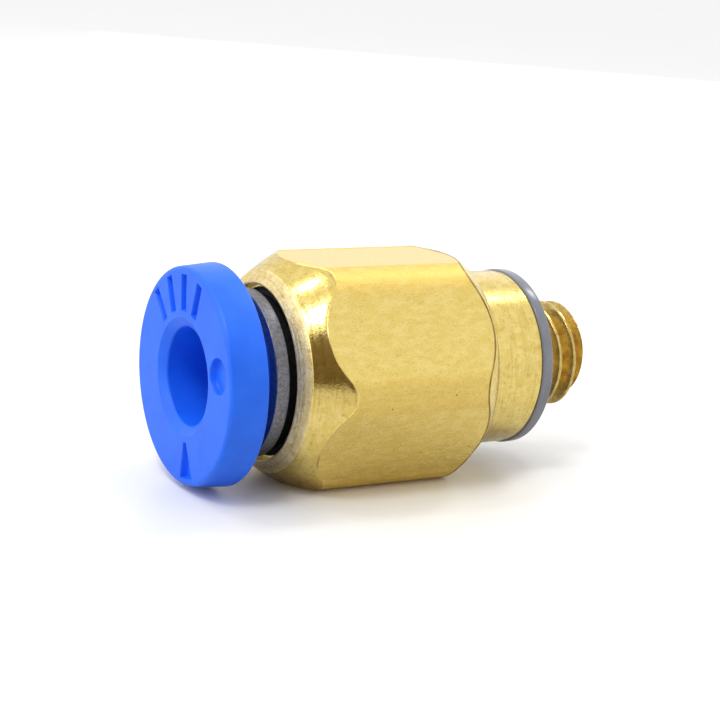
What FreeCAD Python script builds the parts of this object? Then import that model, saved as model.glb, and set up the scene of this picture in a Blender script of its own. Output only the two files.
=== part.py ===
"""Straight push-to-connect pneumatic fitting: 4 mm tube to an M5 x 0.8 male thread.

Millimetres. X is the fitting's axis: the tube goes in from -X and the thread points to +X.
Z is square to two of the hexagon's flats. The origin is on the axis, at the thread gasket's
outer face, which is the plane that meets the face of the threaded port.
"""
import FreeCAD, Part
import math
import os

# ---- driving dimensions ---------------------------------------------------------------------
# The tube and the port
TUBE_RADIUS = 2.0
THREAD_RADIUS = 2.5
THREAD_PITCH = 0.8
THREAD_LENGTH = 3.0
THREAD_END_CHAMFER = 0.15
THREAD_START_DEG = 112.5
NECK_RADIUS = THREAD_RADIUS - 0.45
NECK_END = 0.12
FLOW_RADIUS = 1.25

# Hexagon and spigot of the body
ACROSS_FLATS = 10.0
HEX_CORNER_ROUNDING = 1.6
HEX_END = -3.5
FLATS_END = -3.7
FLATS_START = -12.0
FRONT_CHAMFER_DEG = 30.0
REAR_CHAMFER_DEG = 35.0
NOSE_EDGE_RADIUS = 4.53
BODY_FRONT = -13.25
MOUTH_RADIUS = 3.92
MOUTH_DEPTH = 0.45
SPIGOT_RADIUS = 4.05
GASKET_THICKNESS = 0.55
GASKET_RADIUS = 4.11

# Bores of the body, from the tube side
PRESS_RADIUS = 3.72
PRESS_END = -8.4
SEAL_BORE_RADIUS = 3.08
SEAL_BORE_END = -6.2
SOCKET_RADIUS = TUBE_RADIUS + 0.06
TUBE_STOP = -2.75

# Guide ring, pressed into the body
GUIDE_FRONT = -14.1
GUIDE_BACK = -11.15
GUIDE_RIM_RADIUS = 3.73
GUIDE_GROOVE_RADIUS = 3.45
GUIDE_GROOVE_START = -13.45
GUIDE_LIP_END = -12.75
GUIDE_ROOM_RADIUS = 3.40

# Release ring
RING_FRONT = -16.75
RING_BACK = -15.03
RING_FACE_RADIUS = 4.765
RING_RIM_RADIUS = 4.92
RING_BORE_RADIUS = TUBE_RADIUS + 0.15
LEAD_IN_RADIUS = 2.57
LEAD_IN_DEPTH = 0.28
RING_NECK_RADIUS = 3.05
GUIDE_BORE_RADIUS = RING_NECK_RADIUS + 0.07
RING_BEAD_RADIUS = 3.28
RING_NOSE_RADIUS = 2.5
RING_NOSE_END = -10.85
RING_TAPER_RADIUS = 2.80
RING_TAPER_END_RADIUS = 2.62

# Marks moulded into the release ring's face, as angles from -Y towards +Z
MARK_DEPTH = 0.30
MARKS_INNER_RADIUS = 2.9
MARKS_OUTER_RADIUS = 4.4
DIMPLE_DEG = 14.0
DIMPLE_RADIUS = 0.74
DIMPLE_CENTRE_RADIUS = 3.52
WEDGE_DEG = -79.0
WEDGE_INNER_WIDTH = 0.20
WEDGE_OUTER_WIDTH = 1.10
GROOVE_COUNT = 4
GROOVES_START_DEG = 74.0
GROOVES_STEP_DEG = 20.0
GROOVE_WIDTH = 0.42

# Lock claw: a band with springy fingers
FINGER_COUNT = 8
SHEET = 0.22
END_PLAY = 0.015
BAND_FRONT = GUIDE_BACK + END_PLAY
BAND_RADIUS = 3.70
HINGE_X = BAND_FRONT + SHEET / 2
HINGE_RADIUS = 3.12
HINGE_GAP = 0.03
FINGER_LENGTH = 1.75
FINGER_SLOPE_DEG = 42.0
FINGER_SLIT = 0.34
BITE_RADIUS = TUBE_RADIUS - 0.10

# Seal and its backing ring
SEAL_LIP_RADIUS = TUBE_RADIUS - 0.07
BACKING_END = -8.22
BACKING_LAND_RADIUS = TUBE_RADIUS + 0.12
BACKING_SEAT_RADIUS = 3.50
BACKING_CONE_END = -9.15
BACKING_CONE_END_RADIUS = 2.86

ORIGIN = FreeCAD.Vector(0, 0, 0)
AXIS = FreeCAD.Vector(1, 0, 0)
FAR = 30.0


def outline(corners):
    """Closed wire in the XZ plane through (x, z) or (x, z, rounding) corners."""
    points = [FreeCAD.Vector(corner[0], 0, corner[1]) for corner in corners]
    pieces = []
    for index, corner in enumerate(corners):
        here = points[index]
        rounding = corner[2] if len(corner) > 2 else 0.0
        if rounding == 0.0:
            pieces.append((here, None, here))
            continue
        back = (points[index - 1] - here).normalize()
        ahead = (points[(index + 1) % len(points)] - here).normalize()
        half = back.getAngle(ahead) / 2
        reach = rounding / math.tan(half)
        centre = here + (back + ahead).normalize() * (rounding / math.sin(half))
        middle = centre + (here - centre).normalize() * rounding
        pieces.append((here + back * reach, middle, here + ahead * reach))
    edges = []
    for index, (start, middle, end) in enumerate(pieces):
        if middle is not None:
            edges.append(Part.Arc(start, middle, end).toShape())
        following = pieces[(index + 1) % len(pieces)][0]
        if end.distanceToPoint(following) > 1e-6:
            edges.append(Part.LineSegment(end, following).toShape())
    return Part.Wire(edges)


def turned(corners):
    """Solid turned about the X axis from an outline of (x, radius) corners."""
    return Part.Face(outline(corners)).revolve(ORIGIN, AXIS, 360)


def rounded_polygon(sides, apothem, rounding, x):
    """Closed wire across the X axis: a regular polygon, flat at the top, with rounded corners."""
    corner_radius = apothem / math.cos(math.pi / sides)
    corners = []
    for index in range(sides):
        angle = math.pi / 2 + math.pi / sides + index * 2 * math.pi / sides
        corners.append((corner_radius * math.cos(angle), corner_radius * math.sin(angle), rounding))
    wire = outline(corners)
    wire.rotate(ORIGIN, FreeCAD.Vector(0, 0, 1), 90)
    wire.translate(FreeCAD.Vector(x, 0, 0))
    return wire


def prism(wire, length):
    """Solid made by pushing a wire along +X."""
    return Part.Face(wire).extrude(AXIS * length)


def thread_groove():
    """Right-hand helical cutter for the thread's 60 degree groove."""
    root_radius = THREAD_RADIUS - 0.6134 * THREAD_PITCH
    root_half_width = THREAD_PITCH / 16
    outer_radius = THREAD_RADIUS + 0.08
    outer_half_width = root_half_width + (outer_radius - root_radius) * math.tan(math.radians(30))
    groove_start = 0.05
    helix = Part.makeLongHelix(THREAD_PITCH, THREAD_LENGTH + THREAD_PITCH, root_radius)
    section = Part.makePolygon(
        [
            FreeCAD.Vector(root_radius, 0, -root_half_width),
            FreeCAD.Vector(outer_radius, 0, -outer_half_width),
            FreeCAD.Vector(outer_radius, 0, outer_half_width),
            FreeCAD.Vector(root_radius, 0, root_half_width),
            FreeCAD.Vector(root_radius, 0, -root_half_width),
        ]
    )
    cutter = Part.Wire(helix.Edges).makePipeShell([section], True, True)
    if cutter.Volume < 0:
        cutter.reverse()
    cutter.rotate(ORIGIN, FreeCAD.Vector(0, 1, 0), 90)
    cutter.rotate(ORIGIN, AXIS, THREAD_START_DEG)
    cutter.translate(FreeCAD.Vector(groove_start, 0, 0))
    return cutter


def brass_body():
    """Hexagon, spigot and male thread in one turned and milled piece, bored through."""
    half_flats = ACROSS_FLATS / 2
    past_corner = half_flats / math.cos(math.pi / 6)
    front_run = 1 / math.tan(math.radians(FRONT_CHAMFER_DEG))
    rear_run = 1 / math.tan(math.radians(REAR_CHAMFER_DEG))
    blank = turned(
        [
            (BODY_FRONT, MOUTH_RADIUS - 0.5),
            (BODY_FRONT, MOUTH_RADIUS, 0.12),
            (FLATS_START - front_run * (half_flats - NOSE_EDGE_RADIUS), NOSE_EDGE_RADIUS),
            (FLATS_START + front_run * (past_corner - half_flats), past_corner),
            (FLATS_END - rear_run * (past_corner - half_flats), past_corner),
            (HEX_END, half_flats - (HEX_END - FLATS_END) / rear_run),
            (HEX_END, MOUTH_RADIUS - 0.5),
        ]
    )
    hexagon = prism(
        rounded_polygon(6, half_flats, HEX_CORNER_ROUNDING, BODY_FRONT), HEX_END - BODY_FRONT
    )
    shank = turned(
        [
            (HEX_END - 1.0, FLOW_RADIUS),
            (HEX_END - 1.0, SPIGOT_RADIUS),
            (-GASKET_THICKNESS, SPIGOT_RADIUS, 0.10),
            (-GASKET_THICKNESS, NECK_RADIUS),
            (NECK_END, NECK_RADIUS),
            (NECK_END + 0.2, THREAD_RADIUS),
            (THREAD_LENGTH - THREAD_END_CHAMFER, THREAD_RADIUS),
            (THREAD_LENGTH, THREAD_RADIUS - THREAD_END_CHAMFER),
            (THREAD_LENGTH, FLOW_RADIUS),
        ]
    ).cut(thread_groove())
    core = turned(
        [
            (BODY_FRONT + MOUTH_DEPTH, FLOW_RADIUS),
            (BODY_FRONT + MOUTH_DEPTH, SPIGOT_RADIUS),
            (HEX_END - 0.5, SPIGOT_RADIUS),
            (HEX_END - 0.5, FLOW_RADIUS),
        ]
    )
    bores = turned(
        [
            (BODY_FRONT - 1.0, 0.0),
            (BODY_FRONT - 1.0, MOUTH_RADIUS + 0.02),
            (BODY_FRONT + 0.02, MOUTH_RADIUS - 0.02),
            (BODY_FRONT + MOUTH_DEPTH, MOUTH_RADIUS - 0.02),
            (BODY_FRONT + MOUTH_DEPTH, PRESS_RADIUS),
            (PRESS_END, PRESS_RADIUS),
            (PRESS_END, SEAL_BORE_RADIUS),
            (SEAL_BORE_END, SEAL_BORE_RADIUS),
            (SEAL_BORE_END, SOCKET_RADIUS + 0.3),
            (SEAL_BORE_END + 0.3, SOCKET_RADIUS),
            (TUBE_STOP, SOCKET_RADIUS),
            (TUBE_STOP, FLOW_RADIUS),
            (THREAD_LENGTH - 0.2, FLOW_RADIUS),
            (THREAD_LENGTH + 0.1, FLOW_RADIUS + 0.3),
            (THREAD_LENGTH + 0.1, 0.0),
        ]
    )
    return blank.common(hexagon).fuse(core).fuse(shank).cut(bores).removeSplitter()


def thread_gasket():
    """Flat ring on the thread's neck that seals against the port's face."""
    inner_radius = THREAD_RADIUS + 0.04
    return turned(
        [
            (-GASKET_THICKNESS, inner_radius),
            (-GASKET_THICKNESS, GASKET_RADIUS, 0.07),
            (0.0, GASKET_RADIUS, 0.07),
            (0.0, inner_radius),
        ]
    )


def tube_seal():
    """Rubber lip seal: a U-shaped ring that opens towards the pressure side."""
    base_front = BACKING_END
    lip_end = SEAL_BORE_END - 0.12
    groove_floor = base_front + 0.75
    return turned(
        [
            (base_front, SOCKET_RADIUS + 0.1, 0.08),
            (base_front, SEAL_BORE_RADIUS, 0.08),
            (lip_end, SEAL_BORE_RADIUS, 0.08),
            (lip_end, SEAL_BORE_RADIUS - 0.32, 0.08),
            (groove_floor, SEAL_BORE_RADIUS - 0.36, 0.10),
            (groove_floor, SEAL_LIP_RADIUS + 0.45, 0.10),
            (lip_end - 0.1, SEAL_LIP_RADIUS + 0.36, 0.08),
            (lip_end - 0.1, SEAL_LIP_RADIUS + 0.08, 0.06),
            (lip_end - 0.45, SEAL_LIP_RADIUS, 0.20),
        ]
    )


def seal_backing_ring():
    """Plastic ring that backs the seal, seats the claw band and gives its fingers room to open."""
    seat = BAND_FRONT + SHEET + END_PLAY
    return turned(
        [
            (seat, BAND_RADIUS, 0.08),
            (seat, BACKING_SEAT_RADIUS, 0.05),
            (BACKING_CONE_END, BACKING_CONE_END_RADIUS, 0.15),
            (BACKING_CONE_END, BACKING_LAND_RADIUS, 0.10),
            (BACKING_END, BACKING_LAND_RADIUS, 0.06),
            (BACKING_END, SEAL_BORE_RADIUS - 0.03),
            (PRESS_END, SEAL_BORE_RADIUS - 0.03),
            (PRESS_END, BAND_RADIUS, 0.08),
        ]
    )


def guide_ring():
    """Metal bush pressed into the body; it guides the release ring and holds the claw in."""
    return turned(
        [
            (GUIDE_FRONT, GUIDE_BORE_RADIUS, 0.12),
            (GUIDE_FRONT, GUIDE_RIM_RADIUS, 0.10),
            (GUIDE_GROOVE_START, GUIDE_RIM_RADIUS, 0.05),
            (GUIDE_GROOVE_START, GUIDE_GROOVE_RADIUS),
            (BODY_FRONT + MOUTH_DEPTH - 0.1, GUIDE_GROOVE_RADIUS),
            (BODY_FRONT + MOUTH_DEPTH, PRESS_RADIUS),
            (GUIDE_BACK, PRESS_RADIUS, 0.05),
            (GUIDE_BACK, GUIDE_ROOM_RADIUS),
            (GUIDE_LIP_END, GUIDE_ROOM_RADIUS),
            (GUIDE_LIP_END, GUIDE_BORE_RADIUS),
        ]
    )


def face_place(degrees, radius):
    """Point on the release ring's face, at an angle from -Y towards +Z."""
    angle = math.radians(degrees)
    return FreeCAD.Vector(RING_FRONT, -radius * math.cos(angle), radius * math.sin(angle))


def face_recess(degrees, inner_radius, outer_radius, inner_width, outer_width):
    """Cutter for a radial recess in the release ring's face."""
    along = face_place(degrees, 1.0) - face_place(degrees, 0.0)
    across = AXIS.cross(along)
    corners = []
    for radius, side in (
        (inner_radius, -inner_width / 2),
        (outer_radius, -outer_width / 2),
        (outer_radius, outer_width / 2),
        (inner_radius, inner_width / 2),
    ):
        corners.append(face_place(degrees, radius) + across * side - AXIS * MARK_DEPTH)
    wire = Part.makePolygon(corners + corners[:1])
    return prism(wire, 2 * MARK_DEPTH)


def release_ring():
    """Plastic ring: flange to push, neck in the guide ring, snap bead and nose for the fingers."""
    bead_front = GUIDE_LIP_END + 0.03
    ring = turned(
        [
            (RING_FRONT + LEAD_IN_DEPTH, RING_BORE_RADIUS, 0.15),
            (RING_FRONT, LEAD_IN_RADIUS, 0.05),
            (RING_FRONT, RING_FACE_RADIUS, 0.22),
            (RING_BACK, RING_RIM_RADIUS, 0.12),
            (RING_BACK, RING_NECK_RADIUS, 0.10),
            (bead_front, RING_NECK_RADIUS),
            (bead_front, RING_BEAD_RADIUS, 0.05),
            (bead_front + 0.32, RING_BEAD_RADIUS, 0.08),
            (bead_front + 0.67, RING_TAPER_RADIUS, 0.10),
            (RING_NOSE_END - 0.75, RING_TAPER_END_RADIUS, 0.20),
            (RING_NOSE_END, RING_NOSE_RADIUS, 0.10),
            (RING_NOSE_END, RING_BORE_RADIUS, 0.08),
        ]
    )
    dimple = Part.makeCylinder(
        DIMPLE_RADIUS,
        2 * MARK_DEPTH,
        face_place(DIMPLE_DEG, DIMPLE_CENTRE_RADIUS) - AXIS * MARK_DEPTH,
        AXIS,
    )
    wedge = face_recess(
        WEDGE_DEG, MARKS_INNER_RADIUS, MARKS_OUTER_RADIUS, WEDGE_INNER_WIDTH, WEDGE_OUTER_WIDTH
    )
    ring = ring.cut(dimple).cut(wedge)
    for index in range(GROOVE_COUNT):
        degrees = GROOVES_START_DEG + index * GROOVES_STEP_DEG
        groove = face_recess(
            degrees, MARKS_INNER_RADIUS, MARKS_OUTER_RADIUS, GROOVE_WIDTH, GROOVE_WIDTH
        )
        ring = ring.cut(groove)
    return ring


def claw_band():
    """Stainless band of the lock claw, clamped between the guide ring and the backing ring."""
    disc = Part.makeCylinder(BAND_RADIUS, SHEET, FreeCAD.Vector(BAND_FRONT, 0, 0), AXIS)
    edge = HINGE_RADIUS + SHEET / 2 + HINGE_GAP
    window = prism(rounded_polygon(FINGER_COUNT, edge, 0.1, BAND_FRONT - 1), SHEET + 2)
    return disc.cut(window)


def claw_finger(index):
    """Flat stainless finger that slopes inwards, with a curved edge that bites the tube.

    It is made at the top, towards +Z, and then turned to its place in the band.
    """
    slope = math.radians(FINGER_SLOPE_DEG)
    tip_x = HINGE_X + FINGER_LENGTH * math.cos(slope)
    tip_radius = HINGE_RADIUS - FINGER_LENGTH * math.sin(slope)
    half = SHEET / 2
    across_x = math.sin(slope) * half
    across_z = math.cos(slope) * half
    blade_wire = Part.makePolygon(
        [
            FreeCAD.Vector(HINGE_X - across_x, 0, HINGE_RADIUS - across_z),
            FreeCAD.Vector(tip_x - across_x, 0, tip_radius - across_z),
            FreeCAD.Vector(tip_x + across_x, 0, tip_radius + across_z),
            FreeCAD.Vector(HINGE_X + across_x, 0, HINGE_RADIUS + across_z),
            FreeCAD.Vector(HINGE_X - across_x, 0, HINGE_RADIUS - across_z),
        ]
    )
    width = 2 * HINGE_RADIUS
    blade = Part.Face(blade_wire).extrude(FreeCAD.Vector(0, width, 0))
    blade.translate(FreeCAD.Vector(0, -width / 2, 0))
    root = Part.makeCylinder(
        half, width, FreeCAD.Vector(HINGE_X, -width / 2, HINGE_RADIUS), FreeCAD.Vector(0, 1, 0)
    )
    finger = blade.fuse(root).removeSplitter()

    reach = math.tan(math.pi / FINGER_COUNT) * FAR
    slit = FINGER_SLIT / 2 / math.cos(math.pi / FINGER_COUNT)
    wedge_wire = Part.makePolygon(
        [
            FreeCAD.Vector(HINGE_X - 2, 0, slit / math.tan(math.pi / FINGER_COUNT)),
            FreeCAD.Vector(HINGE_X - 2, reach - slit, FAR),
            FreeCAD.Vector(HINGE_X - 2, slit - reach, FAR),
            FreeCAD.Vector(HINGE_X - 2, 0, slit / math.tan(math.pi / FINGER_COUNT)),
        ]
    )
    finger = finger.common(prism(wedge_wire, 6))
    bite = Part.makeCylinder(BITE_RADIUS, 6, FreeCAD.Vector(HINGE_X - 1, 0, 0), AXIS)
    finger = finger.cut(bite)
    finger.rotate(ORIGIN, AXIS, index * 360 / FINGER_COUNT)
    return finger


def save(node, shape):
    """Write one node's solid as a STEP file."""
    solid = shape.Solids[0]
    if len(shape.Solids) != 1 or not shape.isValid():
        raise ValueError(f"{node} has {len(shape.Solids)} solids, valid: {shape.isValid()}")
    solid.exportStep(f"parts/{node}.step")
    print(f"{node}: {solid.Volume:.3f} mm3")


os.makedirs("parts", exist_ok=True)
save("brass_body", brass_body())
save("thread_gasket", thread_gasket())
save("tube_seal", tube_seal())
save("seal_backing_ring", seal_backing_ring())
save("claw_band", claw_band())
for finger_index in range(FINGER_COUNT):
    save(f"claw_finger_{finger_index + 1}", claw_finger(finger_index))
save("guide_ring", guide_ring())
save("release_ring", release_ring())
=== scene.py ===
"""Looks of a straight push-to-connect fitting, 4 mm tube to M5 thread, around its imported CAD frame.

The frame is in metres. Sizes below are in millimetres and are multiplied by MM where a mesh is
made. X is the fitting's axis, with the tube socket towards -X and the thread towards +X.
"""
import math

import bmesh
import bpy
from mathutils import Matrix, Vector, noise


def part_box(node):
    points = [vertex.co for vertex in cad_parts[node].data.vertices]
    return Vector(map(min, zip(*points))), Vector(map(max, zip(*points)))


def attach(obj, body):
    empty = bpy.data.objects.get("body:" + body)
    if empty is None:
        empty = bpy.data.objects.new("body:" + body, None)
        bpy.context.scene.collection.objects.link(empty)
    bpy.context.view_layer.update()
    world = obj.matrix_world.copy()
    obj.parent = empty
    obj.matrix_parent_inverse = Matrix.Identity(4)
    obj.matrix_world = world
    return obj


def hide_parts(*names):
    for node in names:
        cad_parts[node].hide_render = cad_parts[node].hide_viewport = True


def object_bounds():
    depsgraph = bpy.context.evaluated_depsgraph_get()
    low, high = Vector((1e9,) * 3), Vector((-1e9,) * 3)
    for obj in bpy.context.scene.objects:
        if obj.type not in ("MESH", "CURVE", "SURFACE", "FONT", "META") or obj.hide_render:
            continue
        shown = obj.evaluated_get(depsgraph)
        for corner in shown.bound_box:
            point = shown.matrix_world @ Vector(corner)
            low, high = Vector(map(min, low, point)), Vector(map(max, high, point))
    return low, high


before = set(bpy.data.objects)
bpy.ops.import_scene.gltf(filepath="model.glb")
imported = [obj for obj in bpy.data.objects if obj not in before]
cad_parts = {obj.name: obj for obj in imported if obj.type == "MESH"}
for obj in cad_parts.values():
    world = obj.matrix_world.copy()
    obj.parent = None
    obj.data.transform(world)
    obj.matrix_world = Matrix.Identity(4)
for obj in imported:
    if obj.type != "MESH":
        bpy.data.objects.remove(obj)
cad_low, cad_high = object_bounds()

MM = 0.001


def node_box(node):
    """Lowest and highest corner of a CAD node, in millimetres."""
    low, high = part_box(node)
    return low / MM, high / MM


# ---- sizes, from the frame where it holds them ------------------------------------------------
BODY_LOW, BODY_HIGH = node_box("brass_body")
GASKET_LOW, GASKET_HIGH = node_box("thread_gasket")
GUIDE_LOW, GUIDE_HIGH = node_box("guide_ring")
RING_LOW, RING_HIGH = node_box("release_ring")

# Brass body
THREAD_LENGTH = BODY_HIGH.x
THREAD_RADIUS = 2.5
THREAD_PITCH = 0.8
THREAD_START = math.radians(22.5)
THREAD_END_CHAMFER = 0.15
NECK_DEPTH = 0.45
NECK_RADIUS = THREAD_RADIUS - NECK_DEPTH
NECK_END = 0.12
NECK_RUN_OUT = 0.2
FLOW_RADIUS = 1.25
BODY_FRONT = BODY_LOW.x
HALF_FLATS = BODY_HIGH.z
HEX_SIDE = math.pi / 3
HEX_CORNER_ROUNDING = 1.6
FLAT_TURN = math.atan2(
    (HALF_FLATS - HEX_CORNER_ROUNDING) * math.tan(HEX_SIDE / 2), HALF_FLATS
)
HEX_END = -3.5
FLATS_END = -3.7
FLATS_START = -12.0
FRONT_RUN = 1 / math.tan(math.radians(30))
REAR_RUN = 1 / math.tan(math.radians(35))
NOSE_EDGE_RADIUS = 4.53
NOSE_EDGE = FLATS_START - FRONT_RUN * (HALF_FLATS - NOSE_EDGE_RADIUS)
CONE_LENGTH = 1.8
CONE_CROWN = 0.05
CONE_STATIONS = 7
EDGE_STEP = 0.03
EDGE_DIP = 0.012
BURR_HEIGHT = 0.018
BURR_RAGGEDNESS = 0.030
NICK_DEPTH = 0.20
MOUTH_RADIUS = 3.92
MOUTH_DEPTH = 0.45
SPIGOT_RADIUS = 4.05
PRESS_RADIUS = 3.72
PRESS_END = -8.4
SEAL_BORE_RADIUS = 3.08
SEAL_BORE_END = -6.2
SOCKET_RADIUS = 2.06
TUBE_STOP = -2.75

# Guide ring
GUIDE_RIM_BACK = -13.45
GUIDE_GROOVE_RADIUS = 3.45
GUIDE_SEAT_RADIUS = 3.40
GUIDE_LIP_END = -12.75

# Release ring
RING_BACK = -15.03
RING_FACE_RADIUS = 4.765
RING_RIM_RADIUS = RING_HIGH.z
RING_BORE_RADIUS = 2.15
LEAD_IN_RADIUS = 2.57
LEAD_IN_DEPTH = 0.28
RING_NECK_RADIUS = 3.05
GUIDE_BORE_RADIUS = RING_NECK_RADIUS + 0.07
RING_BEAD_FRONT = -12.72
RING_BEAD_WIDTH = 0.32
RING_BEAD_RAMP = 0.35
RING_BEAD_RADIUS = 3.28
RING_TAPER_RADIUS = 2.80
RING_TAPER_END_RADIUS = 2.62
RING_TIP_LENGTH = 0.75
RING_TIP_RADIUS = 2.50

# Marks in the release ring's face; angles are in degrees from -Y towards +Z
MARK_DEPTH = 0.30
MARK_EDGE = 0.10
MARKS_INNER_RADIUS = 2.9
MARKS_OUTER_RADIUS = 4.4
DIMPLE_DEG = 14.0
DIMPLE_RADIUS = 0.74
DIMPLE_CENTRE_RADIUS = 3.52
WEDGE_DEG = -79.0
WEDGE_HALF_WIDTHS = (0.10, 0.55)
GROOVE_DEGS = [74.0 + 20.0 * index for index in range(4)]
GROOVE_HALF_WIDTHS = (0.21, 0.21)


# ---- meshes -----------------------------------------------------------------------------------
def rounded_outline(corners, steps=4):
    """Points (x, radius, zone) of a closed outline of (x, radius, rounding, zone) corners."""
    points = []
    for index, (x, radius, rounding, zone) in enumerate(corners):
        here = Vector((x, radius))
        if rounding == 0.0:
            points.append((x, radius, zone))
            continue
        following = corners[(index + 1) % len(corners)]
        back = Vector(corners[index - 1][:2]) - here
        ahead = Vector(following[:2]) - here
        half = back.angle(ahead) / 2
        reach = min(rounding / math.tan(half), 0.45 * back.length, 0.45 * ahead.length)
        rounding = reach * math.tan(half)
        back.normalize()
        ahead.normalize()
        centre = here + (back + ahead).normalized() * (rounding / math.sin(half))
        start = (here + back * reach - centre).normalized()
        end = (here + ahead * reach - centre).normalized()
        for step in range(steps + 1):
            point = centre + start.slerp(end, step / steps) * rounding
            points.append((point.x, point.y, zone))
    return points


def skin(name, columns, angles, materials):
    """Mesh object through columns[angle][station] of (x, radius, zone); it closes both ways."""
    stations = len(columns[0])
    vertices = []
    for angle, column in zip(angles, columns):
        for x, radius, _ in column:
            y = radius * math.cos(angle)
            z = radius * math.sin(angle)
            vertices.append((x * MM, y * MM, z * MM))
    faces = []
    zones = []
    for turn in range(len(angles)):
        here = turn * stations
        there = (turn + 1) % len(angles) * stations
        for station in range(stations):
            after = (station + 1) % stations
            faces.append((here + station, here + after, there + after, there + station))
            zones.append(columns[turn][station][2])
    mesh = bpy.data.meshes.new(name)
    mesh.from_pydata(vertices, [], faces)
    for material in materials:
        mesh.materials.append(material)
    mesh.polygons.foreach_set("material_index", zones)
    return finished(name, mesh)


def finished(name, mesh):
    """Object of a mesh, with outward normals and smooth shading up to its sharp edges."""
    shape = bmesh.new()
    shape.from_mesh(mesh)
    bmesh.ops.remove_doubles(shape, verts=shape.verts, dist=1e-8)
    bmesh.ops.recalc_face_normals(shape, faces=shape.faces)
    shape.to_mesh(mesh)
    shape.free()
    mesh.shade_smooth()
    mesh.set_sharp_from_angle(angle=math.radians(38))
    piece = bpy.data.objects.new(name, mesh)
    bpy.context.scene.collection.objects.link(piece)
    return piece


def even_angles(count):
    """Evenly spaced angles round the axis."""
    return [2 * math.pi * step / count for step in range(count)]


def turned(name, corners, material, count=240):
    """Piece turned about the axis from an outline of (x, radius, rounding) corners."""
    outline = rounded_outline([(x, radius, rounding, 0) for x, radius, rounding in corners])
    angles = even_angles(count)
    return skin(name, [outline] * count, angles, [material])


def soft_min(first, second, blend):
    """Smaller of two numbers, with the change from one to the other rounded over."""
    near = max(blend - abs(first - second), 0.0) / blend
    return min(first, second) - near * near * blend / 4


# ---- materials --------------------------------------------------------------------------------
class Shader:
    """A Principled material and short ways to wire nodes into it. Textures work in millimetres."""

    def __init__(self, name, **sockets):
        self.material = bpy.data.materials.new(name)
        self.material.use_nodes = True
        self.tree = self.material.node_tree
        self.surface = self.tree.nodes["Principled BSDF"]
        for socket, value in sockets.items():
            self.surface.inputs[socket.replace("_", " ")].default_value = value
        place = self.tree.nodes.new("ShaderNodeTexCoord").outputs["Object"]
        self.place = self.scaled(place, (1 / MM, 1 / MM, 1 / MM))

    def node(self, kind, settings=None, **sockets):
        """New node with its settings, and its sockets set to values or linked to outputs."""
        made = self.tree.nodes.new(kind)
        for name, value in (settings or {}).items():
            setattr(made, name, value)
        for name, value in sockets.items():
            socket = made.inputs[int(name[1:]) if name[0] == "_" else name.replace("_", " ")]
            if isinstance(value, bpy.types.NodeSocket):
                self.tree.links.new(value, socket)
            else:
                socket.default_value = value
        return made

    def scaled(self, place, scale):
        """Coordinates stretched by a scale."""
        return self.node("ShaderNodeMapping", Vector=place, Scale=scale).outputs["Vector"]

    def math(self, operation, first, second=0.0):
        """Output of a math node."""
        made = self.node("ShaderNodeMath", {"operation": operation}, _0=first, _1=second)
        return made.outputs[0]

    def noise(self, scale, detail=3.0, roughness=0.55):
        """Noise in space; scale is a number or one for each axis, in features per millimetre."""
        stretch = scale if isinstance(scale, tuple) else (scale, scale, scale)
        where = self.scaled(self.place, stretch)
        made = self.node(
            "ShaderNodeTexNoise", Vector=where, Scale=1.0, Detail=detail, Roughness=roughness
        )
        return made.outputs["Fac"]

    def span(self, value, low, high, out_low=0.0, out_high=1.0):
        """Value mapped from one range to another, smoothly, and held inside it."""
        made = self.node(
            "ShaderNodeMapRange",
            {"interpolation_type": "SMOOTHSTEP"},
            Value=value,
            From_Min=low,
            From_Max=high,
            To_Min=out_low,
            To_Max=out_high,
        )
        return made.outputs["Result"]

    def blend(self, factor, first, second):
        """Colour between two colours."""
        made = self.node("ShaderNodeMix", {"data_type": "RGBA"}, _0=factor, _6=first, _7=second)
        return made.outputs[2]

    def axis_distance(self):
        """Distance from the fitting's axis, in millimetres."""
        across = self.node("ShaderNodeVectorMath", {"operation": "MULTIPLY"}, _0=self.place)
        across.inputs[1].default_value = (0.0, 1.0, 1.0)
        length = self.node("ShaderNodeVectorMath", {"operation": "LENGTH"}, _0=across.outputs[0])
        return length.outputs["Value"]

    def rings(self, scale):
        """Noise that makes lines round the axis, as a turning tool leaves them."""
        lengthwise = self.noise((scale, 0.25, 0.25), detail=2.0, roughness=0.7)
        radial = self.node(
            "ShaderNodeTexNoise",
            {"noise_dimensions": "1D"},
            W=self.axis_distance(),
            Scale=scale,
            Detail=2.0,
            Roughness=0.7,
        )
        return self.math("ADD", lengthwise, radial.outputs["Fac"])

    def bump(self, height, distance):
        """Bump whose distance is in millimetres."""
        made = self.node("ShaderNodeBump", Height=height, Distance=distance * MM, Strength=1.0)
        return made.outputs["Normal"]

    def wire(self, **outputs):
        """Link outputs to the surface's sockets, and give back the material."""
        for socket, output in outputs.items():
            self.tree.links.new(output, self.surface.inputs[socket.replace("_", " ")])
        return self.material


BRASS_LIGHT = (0.93, 0.73, 0.25, 1.0)
BRASS_DEEP = (0.84, 0.63, 0.17, 1.0)
BRASS_TARNISH = (0.30, 0.19, 0.06, 1.0)
NOSE_LIGHT = (1.0, 0.84, 0.44, 1.0)
NOSE_DEEP = (0.88, 0.68, 0.30, 1.0)
THREAD_LIGHT = (0.78, 0.58, 0.20, 1.0)
THREAD_DEEP = (0.56, 0.39, 0.12, 1.0)
# Dark brass of the hexagon's rear edge: painted shade along that edge, not tarnish.
SHADED_EDGE_PALE = (0.42, 0.29, 0.09, 1.0)
SHADED_EDGE_DARK = (0.30, 0.20, 0.06, 1.0)


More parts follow.
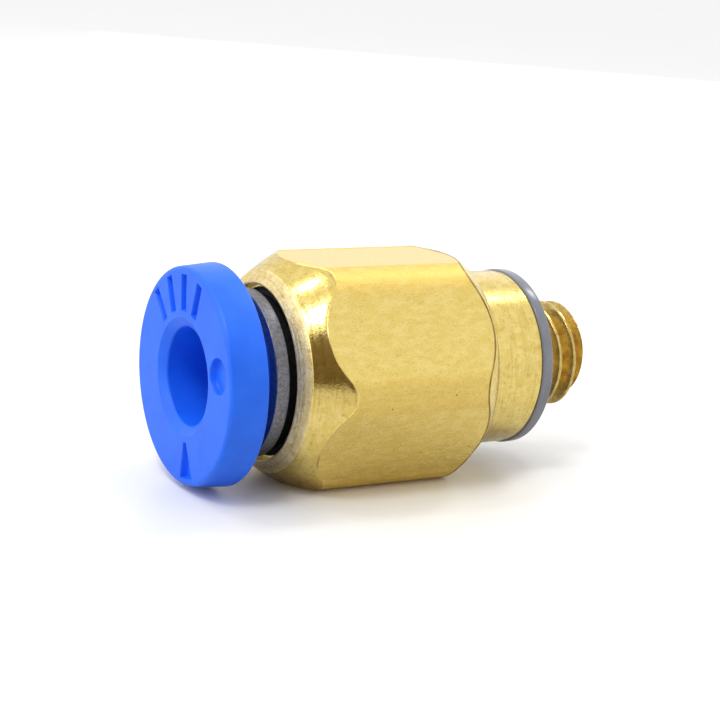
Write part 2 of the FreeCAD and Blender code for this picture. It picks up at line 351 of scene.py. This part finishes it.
def turned_brass(name, roughness, line_scale, line_height, light=BRASS_LIGHT, deep=BRASS_DEEP):
    """Brass as it leaves the lathe: fine lines round the axis, mottling and tarnished specks."""
    shader = Shader(name, Metallic=1.0)
    lines = shader.rings(line_scale)
    mottle = shader.noise(2.5, detail=4.0)
    specks = shader.noise(9.0, detail=2.0)
    colour = shader.blend(shader.span(mottle, 0.35, 0.65), deep, light)
    blotches = shader.noise(4.0, detail=3.0, roughness=0.65)
    colour = shader.blend(shader.span(blotches, 0.52, 0.72, 0.0, 0.30), colour, BRASS_TARNISH)
    colour = shader.blend(shader.span(specks, 0.58, 0.75, 0.0, 0.40), colour, BRASS_TARNISH)
    colour = shader.blend(shader.span(lines, 1.00, 1.30, 0.0, 0.22), colour, BRASS_TARNISH)
    grain = shader.math("ADD", lines, shader.math("MULTIPLY", specks, 1.2))
    gloss = shader.span(lines, 0.7, 1.3, roughness - 0.04, roughness + 0.06)
    return shader.wire(
        Base_Color=colour,
        Roughness=gloss,
        Normal=shader.bump(grain, line_height),
    )


def drawn_brass(name, roughness):
    """Brass of the drawn hexagon bar: faint streaks along the bar, soft mottle and small pits."""
    shader = Shader(name, Metallic=1.0)
    streaks = shader.noise((0.25, 6.0, 6.0), detail=3.0)
    mottle = shader.noise((1.6, 3.6, 3.6), detail=5.0, roughness=0.6)
    grain = shader.noise(14.0, detail=2.0)
    cells = shader.node("ShaderNodeTexVoronoi", Vector=shader.place, Scale=1.7, Randomness=1.0)
    pits = shader.span(cells.outputs["Distance"], 0.05, 0.10, 1.0, 0.0)
    sparse = shader.span(shader.noise(0.9, detail=0.0), 0.52, 0.60)
    pits = shader.math("MULTIPLY", pits, sparse)
    colour = shader.blend(shader.span(mottle, 0.3, 0.7), BRASS_DEEP, BRASS_LIGHT)
    colour = shader.blend(shader.span(streaks, 0.6, 0.8, 0.0, 0.20), colour, BRASS_DEEP)
    colour = shader.blend(shader.span(grain, 0.48, 0.75, 0.0, 0.28), colour, BRASS_TARNISH)
    colour = shader.blend(shader.math("MULTIPLY", pits, 0.8), colour, BRASS_TARNISH)
    height = shader.math("ADD", grain, shader.math("MULTIPLY", mottle, 3.0))
    height = shader.math("ADD", height, shader.math("MULTIPLY", streaks, 0.8))
    height = shader.math("SUBTRACT", height, shader.math("MULTIPLY", pits, 8.0))
    return shader.wire(
        Base_Color=colour,
        Roughness=shader.span(mottle, 0.3, 0.7, roughness - 0.03, roughness + 0.05),
        Normal=shader.bump(height, 0.0012),
    )


def satin_plastic(name, deep, light, roughness, grain):
    """Moulded plastic: an even colour with a faint cloudiness and a fine satin skin."""
    shader = Shader(name, Specular_IOR_Level=0.42)
    clouds = shader.noise(0.8, detail=3.0)
    skin_grain = shader.noise(18.0, detail=2.0)
    flow = shader.noise(2.2, detail=2.0)
    colour = shader.blend(shader.span(clouds, 0.3, 0.7), deep, light)
    height = shader.math("ADD", skin_grain, flow)
    return shader.wire(
        Base_Color=colour,
        Roughness=shader.span(skin_grain, 0.3, 0.7, roughness - 0.05, roughness + 0.05),
        Normal=shader.bump(height, grain),
    )


def mottled_metal():
    """Dull grey plated metal with a speckled skin and faint turning lines."""
    shader = Shader("guide_ring_metal", Metallic=1.0)
    specks = shader.noise(7.0, detail=3.0, roughness=0.6)
    lines = shader.rings(7.0)
    colour = shader.blend(
        shader.span(specks, 0.25, 0.75), (0.15, 0.15, 0.17, 1.0), (0.26, 0.26, 0.29, 1.0)
    )
    height = shader.math("ADD", specks, shader.math("MULTIPLY", lines, 0.5))
    return shader.wire(
        Base_Color=colour,
        Roughness=shader.span(specks, 0.3, 0.7, 0.48, 0.38),
        Normal=shader.bump(height, 0.0018),
    )


def groove_painted_shadow():
    """Painted shadow: near-black metal down in the guide ring's groove, standing in for the shade
    between ring and mouth.
    """
    shader = Shader("groove_painted_shadow", Metallic=0.6)
    shadow_mottle = shader.noise(5.0)
    # Near-black painted shade, varied a little by noise.
    colour = shader.blend(
        shader.span(shadow_mottle, 0.3, 0.7), (0.008, 0.008, 0.010, 1.0), (0.020, 0.019, 0.022, 1.0)
    )
    return shader.wire(
        Base_Color=colour,
        Roughness=shader.span(shadow_mottle, 0.3, 0.7, 0.5, 0.7),
        Normal=shader.bump(shadow_mottle, 0.002),
    )


def spring_steel():
    """Bright stamped stainless sheet with a fine brushed grain."""
    shader = Shader("spring_steel", Metallic=1.0)
    brushed = shader.noise((2.0, 20.0, 2.0), detail=2.0)
    stains = shader.noise(1.5)
    colour = shader.blend(
        shader.span(stains, 0.35, 0.65), (0.50, 0.50, 0.51, 1.0), (0.66, 0.66, 0.66, 1.0)
    )
    return shader.wire(
        Base_Color=colour,
        Roughness=shader.span(brushed, 0.3, 0.7, 0.18, 0.34),
        Normal=shader.bump(brushed, 0.0015),
    )


def seal_rubber():
    """Black nitrile rubber with a dusty bloom."""
    shader = Shader("seal_rubber", Specular_IOR_Level=0.35)
    bloom = shader.noise(2.5, detail=4.0)
    grain = shader.noise(16.0)
    colour = shader.blend(
        shader.span(bloom, 0.4, 0.75), (0.012, 0.012, 0.013, 1.0), (0.040, 0.040, 0.042, 1.0)
    )
    return shader.wire(
        Base_Color=colour,
        Roughness=shader.span(bloom, 0.3, 0.7, 0.45, 0.62),
        Normal=shader.bump(grain, 0.003),
    )


# ---- brass body -------------------------------------------------------------------------------
TURNED, FLAT, CORNER, NOSE, THREAD, BORE, SHADED_EDGE = range(7)


def hexagon(angle):
    """Distance from the axis to the rounded hexagon at an angle from +Y, and its zone there."""
    turn = abs((angle - math.pi / 2 + HEX_SIDE / 2) % HEX_SIDE - HEX_SIDE / 2)
    if turn < FLAT_TURN - 1e-9:
        return HALF_FLATS / math.cos(turn), FLAT
    corner = (HALF_FLATS - HEX_CORNER_ROUNDING) / math.cos(HEX_SIDE / 2)
    away = HEX_SIDE / 2 - turn
    across = corner * math.sin(away)
    return corner * math.cos(away) + math.sqrt(HEX_CORNER_ROUNDING**2 - across**2), CORNER


def burr_height(angle, place):
    """Height of the ragged burr that the lathe tool leaves along the flats' curved ends."""
    ragged_spread = 4.0
    nick_spread = 5.2
    nick_threshold = 0.35
    across = math.cos(angle)
    up = math.sin(angle)
    ragged = noise.noise(Vector((ragged_spread * across, ragged_spread * up, place)))
    nick = noise.noise(Vector((nick_spread * across, nick_spread * up, place + 3.0)))
    nick = max(nick - nick_threshold, 0.0)
    return BURR_HEIGHT + BURR_RAGGEDNESS * ragged - NICK_DEPTH * nick


def hexagon_angles(on_flat=40, on_corner=20):
    """Angles round the axis, closer together on the hexagon's rounded corners."""
    angles = []
    for index in range(6):
        middle = math.pi / 2 + index * HEX_SIDE
        for step in range(on_flat):
            angles.append(middle - FLAT_TURN + 2 * FLAT_TURN * step / on_flat)
        for step in range(on_corner):
            angles.append(middle + FLAT_TURN + (HEX_SIDE - 2 * FLAT_TURN) * step / on_corner)
    return angles


def thread_surface(x, angle):
    """Radius of the threaded end at a place along the axis and an angle round it."""
    root_radius = THREAD_RADIUS - 0.6134 * THREAD_PITCH
    root_half_width = THREAD_PITCH / 16
    groove_start = 0.05
    groove = groove_start + THREAD_PITCH * (angle - THREAD_START) / (2 * math.pi)
    away = abs((x - groove + THREAD_PITCH / 2) % THREAD_PITCH - THREAD_PITCH / 2)
    flank = max(away - root_half_width, 0.0) / math.tan(math.radians(30))
    lead_in = NECK_RADIUS + max(x - NECK_END, 0.0) * NECK_DEPTH / NECK_RUN_OUT
    lead_out = THREAD_RADIUS - THREAD_END_CHAMFER + (THREAD_LENGTH - x)
    plain = soft_min(soft_min(lead_in, lead_out, 0.03), THREAD_RADIUS, 0.03)
    return soft_min(root_radius + flank, plain, 0.05)


def cone_radius(x):
    """Radius of the front cone, a little crowned by polishing."""
    along = (x - NOSE_EDGE) / CONE_LENGTH
    crown = 4 * CONE_CROWN * along * (1 - along)
    return NOSE_EDGE_RADIUS + (x - NOSE_EDGE) / FRONT_RUN + crown


def front_corners(scallop):
    """Corners of the mouth, the nose and the front cone, back to where a flat cuts the cone."""
    corners = [
        (BODY_FRONT + 0.02, MOUTH_RADIUS - 0.02, 0.01, NOSE),
        (BODY_FRONT, MOUTH_RADIUS + 0.05, 0.04, NOSE),
        (NOSE_EDGE - 0.06, NOSE_EDGE_RADIUS - 0.06, 0.02, NOSE),
        (NOSE_EDGE, NOSE_EDGE_RADIUS - 0.01, 0.02, TURNED),
        (NOSE_EDGE + 0.03, NOSE_EDGE_RADIUS + 0.03, 0.01, TURNED),
        (NOSE_EDGE + 0.10, cone_radius(NOSE_EDGE + 0.10), 0.02, TURNED),
    ]
    start = NOSE_EDGE + 0.14
    end = scallop - 3 * EDGE_STEP
    for station in range(CONE_STATIONS):
        x = start + (end - start) * station / (CONE_STATIONS - 1)
        corners.append((x, cone_radius(x), 0.0, TURNED))
    return corners


def hexagon_corners(angle, front, rear):
    """Corners of a flat or rounded corner between its curved ends, with the burr on each end; the
    rear end is brass painted dark as shade.
    """
    across, milled = hexagon(angle)
    step = EDGE_STEP
    front_burr = burr_height(angle, 0.0)
    rear_burr = burr_height(angle, 7.0)
    return [
        (front - step, across - step / FRONT_RUN - EDGE_DIP, 0.0, TURNED),
        (front, across + front_burr, 0.01, milled),
        (front + 2 * step, across, 0.02, milled),
        (front + 4 * step, across, 0.0, milled),
        (rear - 4 * step, across, 0.0, milled),
        # The rear edge's zone is brass painted dark as shade.
        (rear - 2 * step, across, 0.02, SHADED_EDGE),
        (rear, across + rear_burr, 0.01, SHADED_EDGE),
        (rear + step, across - step / REAR_RUN - EDGE_DIP, 0.0, SHADED_EDGE),
        (rear + 2 * step, across - 2 * step / REAR_RUN, 0.0, TURNED),
    ]


def spigot_corners():
    """Corners of the hexagon's rear face, the spigot and the step down to the thread's neck."""
    gasket_face = GASKET_LOW.x
    return [
        (HEX_END, HALF_FLATS - (HEX_END - FLATS_END) / REAR_RUN, 0.04, TURNED),
        (HEX_END, SPIGOT_RADIUS, 0.08, TURNED),
        (gasket_face, SPIGOT_RADIUS, 0.10, TURNED),
        (gasket_face, NECK_RADIUS, 0.0, TURNED),
        (gasket_face + 0.3, NECK_RADIUS, 0.0, TURNED),
    ]


def bore_corners():
    """Corners of the bores, from the thread's end back to the mouth."""
    mouth_floor = BODY_FRONT + MOUTH_DEPTH
    mouth_bore = MOUTH_RADIUS - 0.02
    return [
        (THREAD_LENGTH, FLOW_RADIUS + 0.2, 0.03, BORE),
        (THREAD_LENGTH - 0.2, FLOW_RADIUS, 0.0, BORE),
        (TUBE_STOP, FLOW_RADIUS, 0.05, BORE),
        (TUBE_STOP, SOCKET_RADIUS, 0.05, BORE),
        (SEAL_BORE_END + 0.3, SOCKET_RADIUS, 0.0, BORE),
        (SEAL_BORE_END, SOCKET_RADIUS + 0.3, 0.0, BORE),
        (SEAL_BORE_END, SEAL_BORE_RADIUS, 0.0, BORE),
        (PRESS_END, SEAL_BORE_RADIUS, 0.05, BORE),
        (PRESS_END, PRESS_RADIUS, 0.0, BORE),
        (mouth_floor, PRESS_RADIUS, 0.05, BORE),
        (mouth_floor, mouth_bore, 0.0, BORE),
        (BODY_FRONT + 0.02, mouth_bore, 0.0, BORE),
    ]


def body_column(angle, thread_steps=150):
    """Outline of the brass body at one angle: outside from mouth to thread, then the bores."""
    across, _ = hexagon(angle)
    front = FLATS_START + FRONT_RUN * (across - HALF_FLATS)
    for _ in range(4):
        front -= FRONT_RUN * (cone_radius(front) - across)
    rear = FLATS_END - REAR_RUN * (across - HALF_FLATS)
    outside = front_corners(front) + hexagon_corners(angle, front, rear) + spigot_corners()
    column = rounded_outline(outside)
    for station in range(thread_steps + 1):
        x = THREAD_LENGTH * station / thread_steps
        column.append((x, thread_surface(x, angle), THREAD))
    return column + rounded_outline(bore_corners())[:-1]


def brass_body():
    """The body: rounded hexagon, nose, spigot, helical thread and stepped bore in one skin."""
    materials = [
        turned_brass("brass_turned", 0.15, 9.0, 0.0040),
        drawn_brass("brass_flats", 0.26),
        drawn_brass("brass_corners", 0.60),
        turned_brass("brass_nose", 0.50, 5.0, 0.0150, NOSE_LIGHT, NOSE_DEEP),
        turned_brass("brass_thread", 0.24, 9.0, 0.0060, THREAD_LIGHT, THREAD_DEEP),
        turned_brass("brass_bore", 0.30, 8.0, 0.0050),
        # This darker brass is painted shade for the hexagon's rear edge.
        turned_brass("brass_edge_painted_shade", 0.40, 8.0, 0.0050, SHADED_EDGE_PALE, SHADED_EDGE_DARK),
    ]
    angles = hexagon_angles()
    columns = [body_column(angle) for angle in angles]
    piece = skin("brass_body_skin", columns, angles, materials)
    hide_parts("brass_body")
    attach(piece, "fitting_body")


# ---- gasket and guide ring --------------------------------------------------------------------
def thread_gasket():
    """Flat gasket on the thread's neck."""
    inner = THREAD_RADIUS + 0.04
    outer = GASKET_HIGH.z
    material = satin_plastic(
        "gasket_plastic", (0.20, 0.21, 0.25, 1.0), (0.25, 0.26, 0.30, 1.0), 0.20, 0.002
    )
    piece = turned(
        "gasket_skin",
        [
            (GASKET_LOW.x, inner, 0.03),
            (GASKET_LOW.x, outer, 0.09),
            (GASKET_HIGH.x, outer, 0.09),
            (GASKET_HIGH.x, inner, 0.03),
        ],
        material,
    )
    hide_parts("thread_gasket")
    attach(piece, "fitting_body")


def guide_ring():
    """Grey metal bush in the body's mouth, with its groove painted near-black as shade."""
    front = GUIDE_LOW.x
    back = GUIDE_HIGH.x
    rim = GUIDE_HIGH.z
    groove_end = BODY_FRONT + MOUTH_DEPTH
    bare, groove = 0, 1
    outline = rounded_outline(
        [
            (front, GUIDE_BORE_RADIUS, 0.12, bare),
            (front, rim, 0.06, bare),
            (GUIDE_RIM_BACK, rim, 0.05, groove),
            (GUIDE_RIM_BACK, GUIDE_GROOVE_RADIUS, 0.0, groove),
            (groove_end - 0.1, GUIDE_GROOVE_RADIUS, 0.0, groove),
            (groove_end, PRESS_RADIUS, 0.0, bare),
            (back, PRESS_RADIUS, 0.05, bare),
            (back, GUIDE_SEAT_RADIUS, 0.0, bare),
            (GUIDE_LIP_END, GUIDE_SEAT_RADIUS, 0.0, bare),
            (GUIDE_LIP_END, GUIDE_BORE_RADIUS, 0.03, bare),
        ]
    )
    angles = even_angles(240)
    # The groove's near-black material is painted shadow, not a finish of the ring.
    materials = [mottled_metal(), groove_painted_shadow()]
    piece = skin("guide_ring_skin", [outline] * len(angles), angles, materials)
    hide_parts("guide_ring")
    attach(piece, "fitting_body")


# ---- release ring -----------------------------------------------------------------------------
def outside_dimple(y, z):
    """How far a place on the ring's face is outside the round dimple."""
    turn = math.radians(DIMPLE_DEG)
    centre_y = -DIMPLE_CENTRE_RADIUS * math.cos(turn)
    centre_z = DIMPLE_CENTRE_RADIUS * math.sin(turn)
    return math.hypot(y - centre_y, z - centre_z) - DIMPLE_RADIUS


def outside_slot(y, z, degrees, half_widths):
    """How far a place on the ring's face is outside a radial slot; it may widen outwards."""
    turn = math.radians(degrees)
    along = -y * math.cos(turn) + z * math.sin(turn)
    across = abs(y * math.sin(turn) + z * math.cos(turn))
    length = MARKS_OUTER_RADIUS - MARKS_INNER_RADIUS
    share = (along - MARKS_INNER_RADIUS) / length
    half_width = half_widths[0] + (half_widths[1] - half_widths[0]) * share
    middle = (MARKS_INNER_RADIUS + MARKS_OUTER_RADIUS) / 2
    return max(abs(along - middle) - length / 2, across - half_width)


def mark_depth(angle, radius):
    """How far the marks sink the release ring's face at a place."""
    y = radius * math.cos(angle)
    z = radius * math.sin(angle)
    away = [outside_dimple(y, z), outside_slot(y, z, WEDGE_DEG, WEDGE_HALF_WIDTHS)]
    away += [outside_slot(y, z, degrees, GROOVE_HALF_WIDTHS) for degrees in GROOVE_DEGS]
    share = min(max(0.5 - min(away) / MARK_EDGE, 0.0), 1.0)
    return MARK_DEPTH * share * share * (3 - 2 * share)


def ring_angles():
    """Angles round the release ring, close together where its face has a mark."""
    spans = [(DIMPLE_DEG, 14.5), (WEDGE_DEG, 9.0)]
    spans += [(degrees, 6.0) for degrees in GROOVE_DEGS]
    fine, coarse = 0.3, 1.0
    angles = []
    degrees = 0.0
    while degrees < 359.9:
        angles.append(math.radians(degrees))
        from_mark = min(
            abs((180 - degrees - middle + 180) % 360 - 180) - half for middle, half in spans
        )
        degrees += fine if from_mark < 0 else coarse
    return angles


def ring_column(angle, face_steps=72):
    """Outline of the release ring at one angle, with its face sunk where it has a mark."""
    front = RING_LOW.x
    tip = RING_HIGH.x
    bead_back = RING_BEAD_FRONT + RING_BEAD_WIDTH
    outline = rounded_outline(
        [
            (front, RING_FACE_RADIUS, 0.22, 0),
            (RING_BACK, RING_RIM_RADIUS, 0.12, 0),
            (RING_BACK, RING_NECK_RADIUS, 0.10, 0),
            (RING_BEAD_FRONT, RING_NECK_RADIUS, 0.0, 0),
            (RING_BEAD_FRONT, RING_BEAD_RADIUS, 0.05, 0),
            (bead_back, RING_BEAD_RADIUS, 0.08, 0),
            (bead_back + RING_BEAD_RAMP, RING_TAPER_RADIUS, 0.10, 0),
            (tip - RING_TIP_LENGTH, RING_TAPER_END_RADIUS, 0.20, 0),
            (tip, RING_TIP_RADIUS, 0.10, 0),
            (tip, RING_BORE_RADIUS, 0.08, 0),
            (front + LEAD_IN_DEPTH, RING_BORE_RADIUS, 0.15, 0),
            (front, LEAD_IN_RADIUS, 0.05, 0),
        ],
        steps=6,
    )
    inner = outline[-1][1]
    outer = outline[0][1]
    for step in range(1, face_steps):
        radius = inner + (outer - inner) * step / face_steps
        outline.append((front + mark_depth(angle, radius), radius, 0))
    return outline


def release_ring():
    """Blue ring that is pushed in to let the tube go."""
    angles = ring_angles()
    columns = [ring_column(angle) for angle in angles]
    material = satin_plastic(
        "release_plastic", (0.006, 0.138, 0.92, 1.0), (0.010, 0.162, 0.99, 1.0), 0.42, 0.0035
    )
    piece = skin("release_ring_skin", columns, angles, [material])
    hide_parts("release_ring")
    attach(piece, "release_ring")


# ---- seal, backing ring and claw --------------------------------------------------------------
def inner_pieces():
    """Seal, backing ring and claw keep their CAD shapes and get finishes of their own."""
    rubber = seal_rubber()
    plastic = satin_plastic(
        "backing_plastic", (0.70, 0.70, 0.66, 1.0), (0.80, 0.80, 0.77, 1.0), 0.4, 0.003
    )
    steel = spring_steel()
    finishes = {"tube_seal": rubber, "seal_backing_ring": plastic}
    for name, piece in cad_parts.items():
        finish = steel if name.startswith("claw_") else finishes.get(name)
        if finish is None:
            continue
        for slot in piece.material_slots:
            slot.material = finish


# ---- studio -----------------------------------------------------------------------------------
CAMERA_AZIMUTH = math.radians(-31.02)
CAMERA_ELEVATION = math.radians(13.47)
CAMERA_ROLL = math.radians(4.16)
CAMERA_TARGET = Vector((-7.886, 0.0, 0.215))
CAMERA_DISTANCE = 85.07
LENS = 93.54
FLAG_RADIUS = 48.0
FLAG_BEHIND_CAMERA = 2.0
FLAG_RAISE = 6.0
FLOOR_REACH = 1500.0
SKY_STRENGTH = 0.95


def towards(azimuth, elevation):
    """Unit vector at an azimuth from -Y towards +X and an elevation, in radians."""
    level = math.cos(elevation)
    return Vector((math.sin(azimuth) * level, -math.cos(azimuth) * level, math.sin(elevation)))


def camera():
    """Close camera in front of the fitting's left side, a little above it."""
    back = towards(CAMERA_AZIMUTH, CAMERA_ELEVATION)
    level = Vector((math.cos(CAMERA_AZIMUTH), math.sin(CAMERA_AZIMUTH), 0.0))
    up = back.cross(level)
    right = math.cos(CAMERA_ROLL) * level + math.sin(CAMERA_ROLL) * up
    up = back.cross(right)
    data = bpy.data.cameras.new("camera")
    data.lens = LENS
    data.sensor_width = 36.0
    data.clip_start = 0.005
    data.clip_end = 5.0
    made = bpy.data.objects.new("camera", data)
    bpy.context.scene.collection.objects.link(made)
    made.matrix_world = Matrix((right, up, back)).transposed().to_4x4()
    made.location = (CAMERA_TARGET + CAMERA_DISTANCE * back) * MM
    bpy.context.scene.camera = made


def softbox(name, azimuth, elevation, distance, size, radiance):
    """Square area light that faces the fitting; sizes in millimetres."""
    data = bpy.data.lights.new(name, "AREA")
    data.size = size * MM
    data.energy = radiance * math.pi * (size * MM) ** 2
    made = bpy.data.objects.new(name, data)
    bpy.context.scene.collection.objects.link(made)
    direction = towards(math.radians(azimuth), math.radians(elevation))
    made.location = (CAMERA_TARGET + distance * direction) * MM
    made.rotation_mode = "QUATERNION"
    made.rotation_quaternion = direction.to_track_quat("Z", "Y")
    made.visible_camera = False


def floor():
    """Pale satin floor under the lowest flat, a little whiter to the eye than what it bounces."""
    shape = bmesh.new()
    bmesh.ops.create_grid(shape, x_segments=8, y_segments=8, size=FLOOR_REACH * MM)
    bmesh.ops.translate(shape, verts=shape.verts, vec=(0.0, 0.0, cad_low.z))
    mesh = bpy.data.meshes.new("floor")
    shape.to_mesh(mesh)
    shape.free()
    shader = Shader("floor_paper", Roughness=0.36, Specular_IOR_Level=0.4)
    tone = shader.noise(0.02, detail=2.0)
    bounced = shader.blend(tone, (0.68, 0.68, 0.68, 1.0), (0.70, 0.70, 0.70, 1.0))
    seen = shader.blend(tone, (0.95, 0.95, 0.95, 1.0), (0.97, 0.97, 0.97, 1.0))
    direct = shader.node("ShaderNodeLightPath").outputs["Is Camera Ray"]
    mesh.materials.append(shader.wire(Base_Color=shader.blend(direct, bounced, seen)))
    made = bpy.data.objects.new("floor", mesh)
    bpy.context.scene.collection.objects.link(made)


def lens_flag():
    """Brown disc at the camera's place, which polished metal mirrors as it does a camera."""
    back = towards(CAMERA_AZIMUTH, CAMERA_ELEVATION)
    shape = bmesh.new()
    bmesh.ops.create_circle(shape, cap_ends=True, segments=64, radius=FLAG_RADIUS * MM)
    mesh = bpy.data.meshes.new("lens_flag")
    shape.to_mesh(mesh)
    shape.free()
    shader = Shader("flag_brown", Roughness=0.6)
    tone = shader.noise(0.05)
    colour = shader.blend(tone, (0.15, 0.100, 0.052, 1.0), (0.19, 0.128, 0.068, 1.0))
    mesh.materials.append(shader.wire(Base_Color=colour))
    made = bpy.data.objects.new("lens_flag", mesh)
    bpy.context.scene.collection.objects.link(made)
    made.location = (CAMERA_TARGET + (CAMERA_DISTANCE + FLAG_BEHIND_CAMERA) * back) * MM
    made.location.z += FLAG_RAISE * MM
    made.rotation_mode = "QUATERNION"
    made.rotation_quaternion = back.to_track_quat("Z", "Y")
    made.visible_camera = False


def studio():
    """White surroundings, three small bright softboxes overhead and two large faint ones."""
    scene = bpy.context.scene
    scene.view_settings.view_transform = "Standard"
    scene.view_settings.look = "None"
    world = bpy.data.worlds.new("white_tent")
    world.use_nodes = True
    background = world.node_tree.nodes["Background"]
    background.inputs["Color"].default_value = (1.0, 1.0, 1.0, 1.0)
    background.inputs["Strength"].default_value = SKY_STRENGTH
    scene.world = world
    softbox("key_left", -55.0, 57.0, 200.0, 46.0, 16.0)
    softbox("key_back", -126.0, 67.5, 200.0, 20.0, 18.0)
    softbox("key_right", 104.0, 53.0, 200.0, 38.0, 12.0)
    softbox("fill_left", -100.0, 25.0, 200.0, 150.0, 1.05)
    softbox("fill_behind", 142.0, 14.0, 250.0, 170.0, 0.20)


brass_body()
thread_gasket()
guide_ring()
release_ring()
inner_pieces()
floor()
lens_flag()
studio()
camera()
